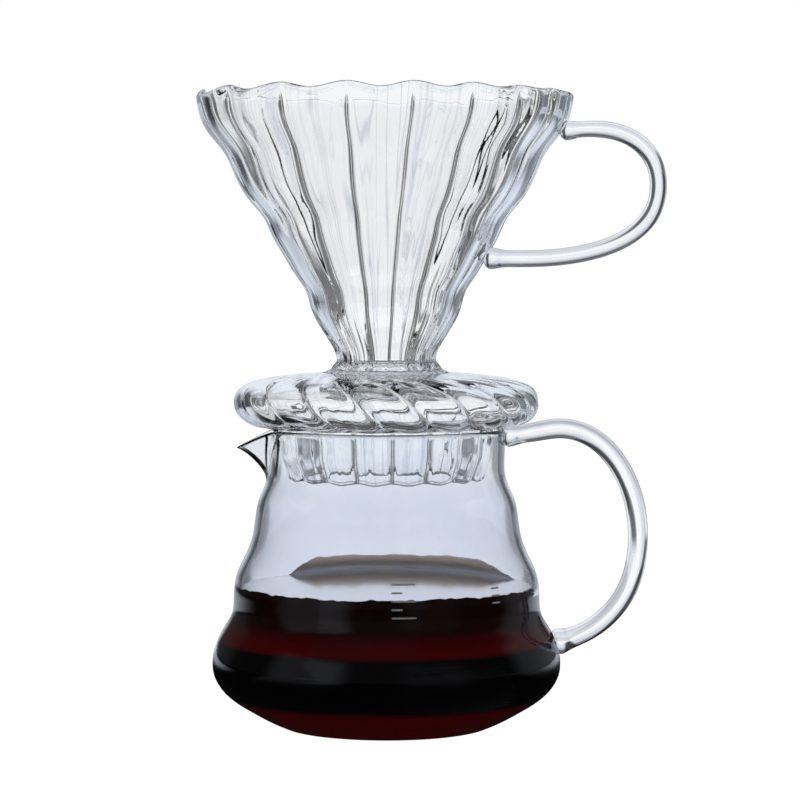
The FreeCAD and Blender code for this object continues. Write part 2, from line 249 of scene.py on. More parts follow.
# ------------------------------------------------------------------ outlines
def smooth(points, step):
    """Even steps along the smooth curve through the points, and the curve's left-hand normals."""
    knots = np.array(points, float)
    spans = np.linalg.norm(np.diff(knots, axis=0), axis=1)
    lengths = np.concatenate(([0.0], np.cumsum(spans)))
    count = len(knots)
    system = np.eye(count)
    right = np.zeros((count, 2))
    for i in range(1, count - 1):
        system[i, i - 1:i + 2] = spans[i - 1], 2 * (spans[i - 1] + spans[i]), spans[i]
        right[i] = 6 * ((knots[i + 1] - knots[i]) / spans[i] - (knots[i] - knots[i - 1]) / spans[i - 1])
    bends = np.linalg.solve(system, right)
    fine_count = 60 * count
    along = np.linspace(0, lengths[-1], fine_count)
    span = np.clip(np.searchsorted(lengths, along, "right") - 1, 0, count - 2)
    size = spans[span][:, None]
    before = (lengths[span + 1] - along)[:, None] / size
    after = 1 - before
    curve = before * knots[span] + after * knots[span + 1] + size ** 2 / 6 * (
        (before ** 3 - before) * bends[span] + (after ** 3 - after) * bends[span + 1])
    travelled = np.concatenate(([0.0], np.cumsum(np.linalg.norm(np.diff(curve, axis=0), axis=1))))
    fewest = 8
    stops = np.linspace(0, travelled[-1], max(fewest, round(travelled[-1] / step)))
    places = np.stack([np.interp(stops, travelled, curve[:, axis]) for axis in (0, 1)], axis=1)
    tangents = np.gradient(places, axis=0)
    tangents /= np.linalg.norm(tangents, axis=1)[:, None]
    return places, np.stack([-tangents[:, 1], tangents[:, 0]], axis=1)


def half_turn(start, end, ahead, count=7):
    """Points on the round edge from start to end, which bulges ahead."""
    centre = (start + end) / 2
    radius = np.linalg.norm(end - start) / 2
    turns = np.linspace(0, math.pi, count + 2)[1:-1]
    return [centre + (start - centre) * math.cos(turn) + ahead * radius * math.sin(turn) for turn in turns]


def wall_section(points, step, wall=WALL):
    """A closed section of glass: up the outside, over a round edge, down the inside and round again.

    Returns its radii and heights, each point's travel up the outline from 0 to 1, and its side:
    1 outside and 0 inside."""
    out, left = smooth(points, step)
    back = (out + left * wall)[::-1]
    ahead = np.array([left[-1][1], -left[-1][0]])
    behind = np.array([-left[0][1], left[0][0]])
    top = half_turn(out[-1], back[0], ahead)
    bottom = half_turn(back[-1], out[0], behind)
    travel = np.linspace(0, 1, len(out))
    edge = np.linspace(1, 0, len(top))
    section = np.array([*out, *top, *back, *bottom])
    travels = np.concatenate([travel, np.ones(len(top)), travel[::-1], np.zeros(len(bottom))])
    sides = np.concatenate([np.ones(len(out)), edge, np.zeros(len(back)), edge[::-1]])
    return section[:, :1], section[:, 1:], travels[:, None], sides[:, None]


def around(count):
    """Even angles once round, as one row."""
    return np.arange(count)[None, :] * (TURN / count)


def ease(value, low, high):
    """0 below low, 1 above high and smooth in between."""
    part = np.clip((value - low) / (high - low), 0, 1)
    return part * part * (3 - 2 * part)


def waves(table, angle, along):
    """The sum of a table's sine waves round the glass, which drift along it."""
    return sum(size * np.sin(count * angle + drift * along + phase) for count, drift, phase, size in table)


def flute_columns(per_flute):
    """Lobe numbers once round the glass, whole at the creases, with the columns crowded towards them."""
    steps = np.linspace(-1, 1, per_flute, endpoint=False)
    near = 0.5 * np.sign(steps) * np.abs(steps) ** COLUMN_CROWDING
    return (np.arange(FLUTES)[:, None] + near).reshape(1, -1)


def angle_at(lobes, uneven, phase=0.0):
    """The angle, from -Y towards +X, where a lobe number lies when lobes are wider on one side."""
    even = TURN * (lobes - phase) / FLUTES
    angle = even
    settling_rounds = 12
    for _ in range(settling_rounds):
        angle = even + uneven * np.cos(angle)
    return angle


def crease(lobes, softness):
    """0 on the crown of a lobe and 1 at the crease between two lobes."""
    return 1 - np.sqrt(np.sin(math.pi * lobes) ** 2 + softness) / np.sqrt(1 + softness)


def fold(lobes, angle, radius, side, broad, sharp):
    """How far in the glass lies: a broad scallop, and a sharp valley outside at each crease.

    Round the back the creases are softer, and the inside follows the outside more closely."""
    front = BACK_SOFTNESS + (1 - BACK_SOFTNESS) * ease(np.cos(angle), *BACK_TURN)
    beside = np.abs(lobes - np.round(lobes)) * TURN * radius / FLUTES
    valley = front * sharp * CREASE_DEPTH * np.exp(-beside / CREASE_WIDTH)
    outside = broad * crease(lobes, CREASE_ROUNDING) + valley
    inside = broad * crease(lobes, CREASE_ROUNDING + INNER_ROUNDING * front)
    return side * outside + (1 - side) * inside


def ripple(lobes, height):
    """Fine streaks that follow the flutes, as drawn glass has."""
    return STREAK_DEPTH * waves(STREAKS, TURN * lobes / FLUTES, height)


def flow(lobes, height):
    """Texture coordinates in millimetres that run along the flutes, so that fine streaks follow them."""
    turn = TURN * lobes / FLUTES + 0 * height
    return np.stack([FLOW_RADIUS * np.cos(turn), FLOW_RADIUS * np.sin(turn), height + 0 * turn], axis=2)


# ------------------------------------------------------------------ meshes
def make_piece(name, skin, body, nodes, materials, streaks=None):
    """A mesh object on a body, from its vertices and faces.

    Its streaks are the texture coordinates, in millimetres, that its glass follows."""
    vertices, faces = skin
    mesh = bpy.data.meshes.new(name)
    mesh.from_pydata(vertices, [], faces)
    mesh.shade_smooth()
    if streaks is None:
        streaks = np.array(vertices) / MM
    along = mesh.attributes.new("flow", "FLOAT_VECTOR", "POINT")
    along.data.foreach_set("vector", np.ascontiguousarray(streaks, dtype=np.float32).ravel())
    piece = bpy.data.objects.new(name, mesh)
    bpy.context.scene.collection.objects.link(piece)
    for material in materials:
        mesh.materials.append(material)
    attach(piece, body)
    if nodes:
        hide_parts(*nodes)
    return piece


def grid_faces(rows, columns, closed_rows):
    """Quads between rows of points, closed along each row, and over the last row if asked."""
    near = np.arange(rows if closed_rows else rows - 1)[:, None] * columns
    far = (near + columns) % (rows * columns)
    column = np.arange(columns)[None, :]
    following = (column + 1) % columns
    return np.stack([near + column, near + following, far + following, far + column], axis=2).reshape(-1, 4)


def revolved(angle, radius, height, lean=0.0):
    """Points round the Z axis, in metres, for an angle from -Y, and a radius and height in millimetres."""
    x = radius * np.sin(angle) - lean
    y = -radius * np.cos(angle)
    return np.stack([x, y, height + 0 * x], axis=2) * MM


def facing_out(vertices, quads, triangles=()):
    """The vertices and faces as lists, turned so that the faces enclose a positive volume."""
    a, b, c, d = [vertices[quads[:, corner]] for corner in range(4)]
    volume = np.sum(a * np.cross(b, c)) + np.sum(a * np.cross(c, d))
    faces = quads.tolist() + [list(triangle) for triangle in triangles]
    if volume < 0:
        faces = [face[::-1] for face in faces]
    return vertices.tolist(), faces


def closed_ring(points):
    """Vertices and faces of a ring of glass whose section is closed."""
    rows, columns, _ = points.shape
    return facing_out(points.reshape(-1, 3), grid_faces(rows, columns, True))


def capped_skin(points):
    """Vertices and faces of a skin whose first and last rows are each closed by a fan.

    The fans' triangles come last, one of the first row's and one of the last row's in turn."""
    rows, columns, _ = points.shape
    vertices = np.concatenate([points.reshape(-1, 3), points[0].mean(0)[None], points[-1].mean(0)[None]])
    last = (rows - 1) * columns
    fans = []
    for column in range(columns):
        following = (column + 1) % columns
        fans.append((rows * columns, following, column))
        fans.append((rows * columns + 1, last + column, last + following))
    return facing_out(vertices, grid_faces(rows, columns, False), fans)


# ------------------------------------------------------------------ server
def beak(angle, neck, height):
    """How far the pouring lip carries the wall out of the neck, and how far it drops there."""
    off = np.abs((angle - BEAK_ANGLE + math.pi) % TURN - math.pi)
    rise = np.clip((height - BEAK_START) / (CARAFE_TOP - BEAK_START), 0, 1)
    tip = neck + BEAK_REACH * rise
    side = tip * math.sin(BEAK_HALF_ANGLE) / np.sin(BEAK_HALF_ANGLE + np.minimum(off, BEAK_SPREAD)) - neck
    reach = (side + np.sqrt(side * side + BEAK_SOFTNESS)) / 2
    drop = BEAK_DROP * rise * reach / BEAK_REACH
    fade = np.clip((1 - off / BEAK_SPREAD) * BEAK_FADE, 0, 1) * (rise > 0)
    return reach * fade, drop * fade


def floor_rows(edge, level, parts):
    """Points (radius, height) of the floor inside the server, which bends up near its edge."""
    bends = [max(0.0, part - FLOOR_FLAT) / (1 - FLOOR_FLAT) for part in parts]
    return [(edge * part, level + FLOOR_RISE * bend) for part, bend in zip(parts, bends)]


def carafe(materials):
    """The server's body: its base, outside, lip, inside and floor as one skin."""
    out, left = smooth(CARAFE_OUTLINE, CARAFE_STEP)
    back = (out + left * WALL)[::-1]
    bend = 1.0
    back = back[back[:, 1] > CARAFE_FLOOR + bend]
    lip = half_turn(out[-1], back[0], np.array([0.0, 1.0]))
    base_radius = out[0][0]
    base_radii = np.linspace(BASE_CENTRE, base_radius - BASE_RIM, BASE_ROWS)
    base = [(radius, BASE_HOLLOW * (1 - radius / base_radius)) for radius in base_radii]
    floor = floor_rows(back[-1][0], CARAFE_FLOOR, FLOOR_PARTS[::-1])
    section = np.array([*base, *out, *lip, *back, *floor])
    radius = section[:, :1]
    height = section[:, 1:]
    angle = around(SERVER_COLUMNS)
    reach, drop = beak(angle, radius, height)
    wobble = waves(CARAFE_WOBBLE, angle, height) * np.minimum(1, radius / WOBBLE_RADIUS)
    points = revolved(angle, radius + reach + wobble, height - drop)
    make_piece("server_glass", capped_skin(points), "server", ["carafe_body"], materials)


def coffee(materials):
    """The coffee's skin, and a surface with a meniscus and an edge made uneven by small bubbles."""
    out, left = smooth(CARAFE_OUTLINE, CARAFE_STEP)
    sunk = COFFEE_OVERLAP + BASE_OVERLAP * (1 - ease(out[:, 1:], *BASE_BEND))
    inside = out + left * (WALL - sunk)
    floor = CARAFE_FLOOR - BASE_OVERLAP
    bend = 1.0
    spare = 3.0
    side = inside[(inside[:, 1] > floor + bend) & (inside[:, 1] < COFFEE_LEVEL + MENISCUS_RISE + spare)]
    angle = around(SERVER_COLUMNS)
    front = EDGE_CALM + (1 - EDGE_CALM) * ease(np.cos(angle), *EDGE_TURN)
    top = COFFEE_LEVEL + (MENISCUS_RISE + waves(BUBBLE_EDGE, angle, 0)) * front
    floor_points = floor_rows(side[0][0], floor, FLOOR_PARTS)
    rows = [(radius + 0 * angle, height + 0 * angle) for radius, height in floor_points]
    for level in np.linspace(0, 1, COFFEE_SIDE_ROWS):
        height = side[0][1] + (top - side[0][1]) * level
        rows.append((np.interp(height, side[:, 1], side[:, 0]), height))
    edge = rows[-1][0]
    edge_row = len(rows) - 1
    for inset in SURFACE_INSETS:
        rise = math.exp(-inset * MENISCUS_STEEPNESS)
        rows.append((edge - inset, COFFEE_LEVEL + (top - COFFEE_LEVEL) * rise))
    radius = np.concatenate([row[0] for row in rows])
    height = np.concatenate([row[1] for row in rows])
    skin = capped_skin(revolved(angle, radius, height))
    piece = make_piece("coffee_fill", skin, "server", ["coffee"], materials)

    side_material, top_material = 0, 1
    index = np.full(len(piece.data.polygons), side_material, dtype=np.int32)
    index[edge_row * SERVER_COLUMNS:(len(rows) - 1) * SERVER_COLUMNS] = top_material
    index[-SERVER_COLUMNS * 2:] = [side_material, top_material] * SERVER_COLUMNS
    piece.data.polygons.foreach_set("material_index", index)


def coffee_film(materials):
    """A thin film on the inside of the wall opposite the front, sloping down to the level at both ends."""
    out, left = smooth(CARAFE_OUTLINE, FINE_STEP)
    inside = out + left * (WALL + FILM_GAP)
    inside = inside[inside[:, 1] > BELLY_TOP]
    angles = np.linspace(FILM_START, FILM_END, FILM_COLUMNS)[:, None]
    slopes = np.minimum((angles - FILM_START) / FILM_SLOPES[0], (FILM_END - angles) / FILM_SLOPES[1])
    swell = FILM_SWELLS[1] * np.sin(FILM_SWELLS[0] * angles) * np.clip(slopes, 0, 1)
    fray = FILM_FRAYS[1] * np.sin(FILM_FRAYS[0] * angles)
    rise = FILM_RISE * np.clip(slopes, FILM_LEAST, 1) + swell + fray
    loop = np.concatenate([np.linspace(0, 1, FILM_ROWS), np.linspace(1, 0, FILM_ROWS)])[None, :]
    thick = np.repeat([0, FILM_THICKNESS], FILM_ROWS)[None, :]
    height = COFFEE_LEVEL - FILM_SUNK + np.maximum(rise, FILM_LOWEST) * loop
    radius = np.interp(height, inside[:, 1], inside[:, 0]) - thick
    points = np.stack([radius * np.sin(angles), -radius * np.cos(angles), height], axis=2) * MM
    make_piece("coffee_film", capped_skin(points), "server", [], materials)


def mark_bar(wall, level, start, sweep):
    """Points of one printed bar with rounded ends, standing a little proud of the wall outside."""
    rows = []
    for side, proud in ((-1, MARK_GAP), (-1, MARK_TOP), (1, MARK_TOP), (1, MARK_GAP)):
        row = []
        for column in range(MARK_COLUMNS + 1):
            to_end = min(column, MARK_COLUMNS - column)
            rounding = MARK_NARROWING * (1 - min(1.0, to_end / MARK_ROUND)) ** 2
            height = level + side * MARK_HALF * math.sqrt(1 - rounding)
            radius = float(np.interp(height, wall[:, 1], wall[:, 0])) + proud
            angle = start + sweep * column / MARK_COLUMNS
            row.append((radius * math.sin(angle), -radius * math.cos(angle), height))
        rows.append(row)
    return np.array(rows) * MM


def scale_marks(materials):
    """Two plain rows of level bars, one in front and one at the side."""
    wall, _ = smooth(CARAFE_OUTLINE, FINE_STEP)
    wall = wall[wall[:, 1] > BELLY_TOP]
    bars = []
    for order, level in enumerate(MARK_LEVELS):
        bars.append((level, MARKS_START, SHORT_MARK if order % 2 else LONG_MARK))
    side_top = MARK_LEVELS[-1] - SIDE_MARK_DROP
    for below in (3, 2, 1, 0):
        bars.append((side_top - below * SIDE_MARK_STEP, SIDE_MARKS_START, SHORT_MARK if below else LONG_MARK))
    vertices = []
    faces = []
    for level, start, sweep in bars:
        points = mark_bar(wall, level, start, sweep)
        rows, columns, _ = points.shape
        first = len(vertices)
        vertices += points.reshape(-1, 3).tolist()
        for row in range(rows):
            near = first + row * columns
            far = first + (row + 1) % rows * columns
            for column in range(columns - 1):
                faces.append((near + column, near + column + 1, far + column + 1, far + column))
        faces.append([first + row * columns for row in range(rows)][::-1])
        faces.append([first + row * columns + columns - 1 for row in range(rows)])
    make_piece("level_marks", (vertices, faces), "server", ["scale_marks"], materials)


# ------------------------------------------------------------------ dripper
def cone(materials):
    """The fluted cone, whose lobes twist a little and are wider on one side."""
    radius, height, _, side = wall_section(CONE_OUTLINE, CONE_STEP)
    low = CONE_OUTLINE[0][1]
    high = CONE_OUTLINE[-1][1]
    level = np.clip((height - low) / (high - low), 0, 1)
    lobes = flute_columns(CONE_COLUMNS)
    angle = angle_at(lobes, CONE_UNEVEN * level, CONE_PHASE) - CONE_TWIST * (1 - level)
    sharp = ease(high - height, 0, RIM_FADE)
    depth = fold(lobes, angle, radius, side, CONE_CREASE * radius, sharp)
    calm = 1 - RIM_CALM * ease(np.sin(angle), *RIM_CALM_TURN)
    lift = CONE_RIM_WAVE / 2 * calm * np.cos(TURN * lobes) * level ** RIM_WAVE_POWER
    streaks = ripple(lobes, height) * (1 - side)
    points = revolved(angle, radius - depth + streaks, height + lift, CONE_LEAN * level)
    make_piece("dripper_cone_glass", closed_ring(points), "dripper", ["dripper_cone"],
               materials, flow(lobes, height))


def foot(materials):
    """The hollow disc that rests on the server's rim, with slanting ribs like a rope's."""
    radius, height, travel, side = wall_section(FOOT_OUTLINE, FOOT_STEP)
    ribbed = ease(travel, *RIBS_GROW) * (1 - ease(travel, *RIBS_FADE))
    lobes = flute_columns(FOOT_COLUMNS)
    angle = angle_at(lobes, COLLAR_UNEVEN) - FOOT_SWIRL * (travel - 0.5) * 2
    moved = fold(lobes, angle, radius, side, FOOT_RIB_DEPTH * ribbed, ribbed) + ripple(lobes, height) * side
    inward = np.concatenate([FOOT_MIDDLE[0] - radius, FOOT_MIDDLE[1] - height], axis=1)
    inward /= np.linalg.norm(inward, axis=1)[:, None]
    points = revolved(angle, radius + inward[:, :1] * moved, height + inward[:, 1:] * moved)
    make_piece("dripper_foot_glass", closed_ring(points), "dripper", ["dripper_foot"],
               materials, flow(lobes, height))


def collar(materials):
    """The fluted tube that hangs in the server's neck."""
    radius, height, travel, side = wall_section(COLLAR_OUTLINE, COLLAR_STEP, COLLAR_WALL)
    lobes = flute_columns(FOOT_COLUMNS)
    angle = angle_at(lobes, COLLAR_UNEVEN) + 0 * height
    depth = fold(lobes, angle, radius, side, COLLAR_CREASE * radius, COLLAR_SHARPNESS)
    wave = COLLAR_WAVE * np.cos(TURN * lobes) * (1 - travel) ** COLLAR_WAVE_POWER
    streaks = ripple(lobes, height) * (1 - side)
    points = revolved(angle, radius - depth + streaks, height + wave)
    make_piece("drip_collar_glass", closed_ring(points), "dripper", ["drip_collar"],
               materials, flow(lobes, height))


def neck_weld(materials):
    """Fused glass, crinkled where it was worked, that fills the corner between the cone and the foot."""
    section, left = smooth(WELD_SECTION, WELD_STEP)
    along = np.arange(len(section))[:, None] * (TURN / len(section))
    angle = around(WELD_COLUMNS)
    crinkle = waves(WELD_CRINKLE, angle, along)
    points = revolved(angle, section[:, :1] + left[:, :1] * crinkle, section[:, 1:] + left[:, 1:] * crinkle)
    make_piece("neck_weld_glass", closed_ring(points), "dripper", ["neck_weld"], materials)


# ------------------------------------------------------------------ handles
def rooted(places, left):
    """A line with both ends carried straight on, into the glass that they are welded to, and its normals."""
    deep = ROOT_DEPTH * ROOT_ROWS[:, None]
    first = (places[0] - places[1]) / np.linalg.norm(places[0] - places[1])
    last = (places[-1] - places[-2]) / np.linalg.norm(places[-1] - places[-2])
    longer = np.concatenate([places[0] + first * deep, places, places[-1] + last * deep[::-1]])
    return longer, np.concatenate([[left[0]] * len(deep), left, [left[-1]] * len(deep)])


def handle(name, points, half, body, rod, materials):
    """An oval glass rod between its CAD node's two welds, which swells into a fused bead at each end."""
    welds = [rod + "_upper_weld", rod + "_lower_weld"]
    places, left = rooted(*smooth([middle(welds[0]), *points, middle(welds[1])], HANDLE_STEP))
    gone = np.concatenate(([0.0], np.cumsum(np.linalg.norm(np.diff(places, axis=0), axis=1))))
    size = HANDLE_ROOT + (1 - HANDLE_ROOT) * ease(gone, 0, HANDLE_ROOT_LENGTH)
    for away in (gone, gone[-1] - gone):
        size = size + FLARE * np.exp(-(np.maximum(away - ROOT_DEPTH, 0) / FLARE_LENGTH) ** 2)
    for away in (gone, gone[-1] - gone):
        size = size * np.sqrt(np.clip(1 - (1 - np.minimum(away / ROOT_DEPTH, 1)) ** 2, TIP_AREA, 1))
    turn = around(HANDLE_COLUMNS)
    across = half[0] * size[:, None] * np.cos(turn)
    x = places[:, :1] + left[:, :1] * across
    y = half[1] * size[:, None] * np.sin(turn)
    z = places[:, 1:] + left[:, 1:] * across
    skin = capped_skin(np.stack([x, y, z], axis=2) * MM)
    make_piece(name, skin, body, [rod, *welds], materials)


# ------------------------------------------------------------------ shader nodes
def new_material(name):
    """A material, its node tree and its Principled shader."""
    material = bpy.data.materials.new(name)
    material.use_nodes = True
    tree = material.node_tree
    return material, tree, tree.nodes["Principled BSDF"]


def add_math(tree, operation, *values):
    """A math node whose inputs are other nodes' outputs or numbers."""
    node = tree.nodes.new("ShaderNodeMath")
    node.operation = operation
    for socket, value in zip(node.inputs, values):
        if isinstance(value, (int, float)):
            socket.default_value = value
        else:
            tree.links.new(value, socket)
    return node.outputs[0]


def part_between(tree, value, low, high, kind="LINEAR"):
    """0 below low, 1 above high and even in between, or of another kind."""
    node = tree.nodes.new("ShaderNodeMapRange")
    node.interpolation_type = kind
    node.inputs["From Min"].default_value = low
    node.inputs["From Max"].default_value = high
    tree.links.new(value, node.inputs["Value"])
    return node.outputs["Result"]


def step_between(tree, value, low, high):
    """0 below low, 1 above high and smooth in between."""
    return part_between(tree, value, low, high, "SMOOTHSTEP")


def ramp(tree, value, stops):
    """The colour at a value. Each stop is a place and its colour, or its grey as one number."""
    node = tree.nodes.new("ShaderNodeValToRGB")
    elements = node.color_ramp.elements
    while len(elements) < len(stops):
        elements.new(0.5)
    for element, (place, colour) in zip(elements, stops):
        element.position = place
        element.color = (colour, colour, colour, 1) if isinstance(colour, float) else (*colour, 1)
    tree.links.new(value, node.inputs["Fac"])
    return node.outputs["Color"]


def multiplied(tree, first, second):
    """One colour times another."""
    node = tree.nodes.new("ShaderNodeMix")
    node.data_type = "RGBA"
    node.blend_type = "MULTIPLY"
    node.inputs["Factor"].default_value = 1.0
    tree.links.new(first, node.inputs["A"])
    tree.links.new(second, node.inputs["B"])
    return node.outputs["Result"]


def axes(tree, space):
    """The X, Y and Z of a kind of texture coordinates, and all three as one."""
    place = tree.nodes.new("ShaderNodeTexCoord")
    split = tree.nodes.new("ShaderNodeSeparateXYZ")
    tree.links.new(place.outputs[space], split.inputs["Vector"])
    return split.outputs["X"], split.outputs["Y"], split.outputs["Z"], place.outputs[space]


def facing(tree):
    """0 where a surface faces the viewer and 1 where it is seen edge on."""
    return tree.nodes.new("ShaderNodeLayerWeight").outputs["Facing"]


def stretched_noise(tree, stretch, scale, detail):
    """Noise in the mesh's flow coordinates, in millimetres, drawn out along an axis."""
    place = tree.nodes.new("ShaderNodeAttribute")
    place.attribute_name = "flow"
    mapping = tree.nodes.new("ShaderNodeMapping")
    mapping.inputs["Scale"].default_value = stretch
    noise = tree.nodes.new("ShaderNodeTexNoise")
    noise.inputs["Scale"].default_value = scale
    noise.inputs["Detail"].default_value = detail
    tree.links.new(place.outputs["Vector"], mapping.inputs["Vector"])
    tree.links.new(mapping.outputs["Vector"], noise.inputs["Vector"])
    return noise.outputs["Fac"]


# ------------------------------------------------------------------ materials
WHITE = (1.0, 1.0, 1.0)
SHADE_HEIGHT = 0.1        # metres of height that a glass's shades by height span

CLEAR_GLASS = {"clear": (0.985, 0.995, 1.0), "deep": (0.965, 0.98, 1.0), "thread": (0.72, 0.75, 0.8),
               "stretch": (1, 1, 0.02), "relief": 0.008}
WELD_GLASS = {"clear": (0.985, 0.995, 1.0), "deep": (0.93, 0.95, 0.97), "thread": (0.80, 0.82, 0.86),
              "stretch": (1, 1, 1), "relief": 0.03, "ior": 1.2}
# The server's shades by height: a grey-blue tint low down with a slight dip at 65 mm, then lighter up the
# neck, which is painted brightness where the collar shows through.
SERVER_GLASS_WITH_PAINTED_NECK = {"clear": (0.97, 0.99, 0.995), "deep": (0.94, 0.965, 0.98), "thread": (0.97, 0.97, 0.98),
                "stretch": (1, 1, 0.5), "relief": 0.005,
                "shades": [(0.0, (0.86, 0.87, 0.93)), (0.60, (0.86, 0.87, 0.93)), (0.65, (0.83, 0.84, 0.905)),
                           (0.70, (0.86, 0.87, 0.93)), (0.76, (0.88, 0.89, 0.94)),
                           (0.84, (0.95, 0.955, 0.975))]}
# The handles' glass: its edge ramp paints shade in bands towards where a rod is seen edge on, with a painted
# highlight band between them.
HANDLE_GLASS_PAINTED_EDGES = {"clear": (0.95, 0.96, 0.98), "deep": (0.90, 0.92, 0.96), "thread": (0.96, 0.965, 0.975),
                "stretch": (1, 1, 1), "relief": 0.002,
                "edge": [(0.0, WHITE), (0.05, (0.97, 0.98, 1.0)), (0.10, (0.62, 0.65, 0.71)),
                         (0.28, (0.50, 0.53, 0.60)), (0.40, (0.36, 0.38, 0.45)), (0.50, (0.84, 0.86, 0.90)),
                         (0.64, (0.66, 0.68, 0.73)), (0.78, (0.30, 0.32, 0.37)), (1.0, (0.60, 0.62, 0.66))]}

# From the bottom of the coffee up, to a little above its level. The red-brown bands, low down and at the
# waist, are painted glow where light would come through the coffee; the near-black between is the coffee's
# own colour.
COFFEE_DEPTH = 0.048
COFFEE_AND_PAINTED_GLOW_COLOURS = [(0.0, (0.080, 0.0012, 0.0010)), (0.21, (0.062, 0.0005, 0.0004)),
                  (0.25, (0.0018, 0.0012, 0.0012)), (0.555, (0.0016, 0.0010, 0.0010)),
                  (0.585, (0.080, 0.0003, 0.0003)), (0.655, (0.066, 0.0004, 0.0003)),
                  (0.73, (0.014, 0.0020, 0.0012)), (1.0, (0.010, 0.0030, 0.0020))]
SURFACE_COLOURS = [(0.3, (0.010, 0.0035, 0.0015)), (0.7, (0.020, 0.008, 0.0035))]
SURFACE_MIRROR = (0.68, 0.90)     # the surface turns to a mirror between these slants

# From the film's lower edge to its upper edge: grey low down, which is painted shade along the far waterline,
# and brown above, the dried coffee's colour.
FILM_AND_PAINTED_SHADE_COLOURS = [(0.0, (0.46, 0.45, 0.46)), (0.40, (0.38, 0.37, 0.38)), (0.50, (0.52, 0.36, 0.22)),
                (0.80, (0.74, 0.50, 0.29)), (1.0, (0.78, 0.56, 0.36))]
FILM_COVER = [(0.0, 0.60), (0.35, 0.80), (0.5, 0.70), (0.85, 0.55), (1.0, 0.25)]

INK_COLOURS = [(0.35, (0.10, 0.105, 0.11)), (0.65, (0.16, 0.165, 0.17))]


def glass(name, clear, deep, thread, stretch, relief, ior=1.47, edge=None, shades=None):
    """Blown glass: its tint drifts between two near-clear colours, crossed by fine threads of a third.

    Its fine relief is in millimetres. Where it is seen aslant it can take painted shade, with a painted
    highlight band, and by height other shades, which for the server paint a lighter neck."""
    material, tree, shader = new_material(name)
    shader.inputs["Roughness"].default_value = 0.0
    shader.inputs["IOR"].default_value = ior
    shader.inputs["Transmission Weight"].default_value = 1.0
    colour = ramp(tree, stretched_noise(tree, stretch, scale=0.12, detail=2), [(0.3, deep), (0.7, clear)])
    spread = stretched_noise(tree, stretch, scale=0.16, detail=1)
    threads = [(0.395, WHITE), (0.41, thread), (0.425, WHITE), (0.535, WHITE), (0.55, thread), (0.565, WHITE)]
    colour = multiplied(tree, colour, ramp(tree, spread, threads))
    # Painted shade: darker bands, with a lighter painted highlight band between, where the glass is seen edge
    # on.
    if edge:
        colour = multiplied(tree, colour, ramp(tree, facing(tree), edge))
    # Shades by height; for the server they paint a lighter neck.
    if shades:
        _, _, z, _ = axes(tree, "Object")
        height = add_math(tree, "MULTIPLY", z, 1 / SHADE_HEIGHT)
        colour = multiplied(tree, colour, ramp(tree, height, shades))
    tree.links.new(colour, shader.inputs["Base Color"])
    bump = tree.nodes.new("ShaderNodeBump")
    bump.inputs["Distance"].default_value = relief * MM
    tree.links.new(spread, bump.inputs["Height"])
    tree.links.new(bump.outputs["Normal"], shader.inputs["Normal"])
    return material


def coffee_side():
    """Coffee against the glass: black where it is deep, and a painted red-brown glow low down and at the
    waist, where the light would get round it.
    """
    material, tree, shader = new_material("coffee_side")
    shader.inputs["Roughness"].default_value = 0.6
    shader.inputs["IOR"].default_value = 1.05
    _, _, z, _ = axes(tree, "Object")
    level = part_between(tree, z, 0.0, COFFEE_DEPTH)
    cloud = stretched_noise(tree, (1, 1, 3), scale=0.03, detail=2)
    clouding = 0.02
    shifted = add_math(tree, "MULTIPLY_ADD", cloud, clouding, level)
    tree.links.new(ramp(tree, shifted, COFFEE_AND_PAINTED_GLOW_COLOURS), shader.inputs["Base Color"])
    return material


def coffee_top():
    """The liquid's surface: dark from above, and a mirror where it is seen from the side."""
    material, tree, shader = new_material("coffee_top")
    shader.inputs["Roughness"].default_value = 0.11
    shader.inputs["IOR"].default_value = 1.34
    cloud = stretched_noise(tree, (1, 1, 1), scale=0.045, detail=3)
    low = step_between(tree, facing(tree), *SURFACE_MIRROR)
    mirror = tree.nodes.new("ShaderNodeMix")
    mirror.data_type = "RGBA"
    mirror.inputs["B"].default_value = (*WHITE, 1)
    tree.links.new(low, mirror.inputs["Factor"])
    tree.links.new(ramp(tree, cloud, SURFACE_COLOURS), mirror.inputs["A"])
    tree.links.new(mirror.outputs["Result"], shader.inputs["Base Color"])
    tree.links.new(low, shader.inputs["Metallic"])
    return material


def film():
    """Coffee dried on the wall: thin and brown at its upper edge, grey-brown and nearly opaque low down,
    where the grey is painted shade along the far waterline.
    """
    material, tree, shader = new_material("coffee_film")
    shader.inputs["Roughness"].default_value = 0.5
    shader.inputs["IOR"].default_value = 1.1
    _, _, z, _ = axes(tree, "Object")
    height = part_between(tree, z, COFFEE_LEVEL * MM, (COFFEE_LEVEL + FILM_RISE) * MM)
    cloud = stretched_noise(tree, (1, 1, 2), scale=0.3, detail=3)
    clouding = 0.25
    patchy = add_math(tree, "MULTIPLY_ADD", cloud, clouding, height)
    tree.links.new(ramp(tree, patchy, FILM_AND_PAINTED_SHADE_COLOURS), shader.inputs["Base Color"])
    tree.links.new(ramp(tree, height, FILM_COVER), shader.inputs["Alpha"])
    return material


def ink():
    """Matt grey ink with a fine speckle."""
    material, tree, shader = new_material("printed_ink")
    shader.inputs["Roughness"].default_value = 0.75
    speckle = stretched_noise(tree, (1, 1, 1), scale=1.8, detail=2)
    tree.links.new(ramp(tree, speckle, INK_COLOURS), shader.inputs["Base Color"])
    return material


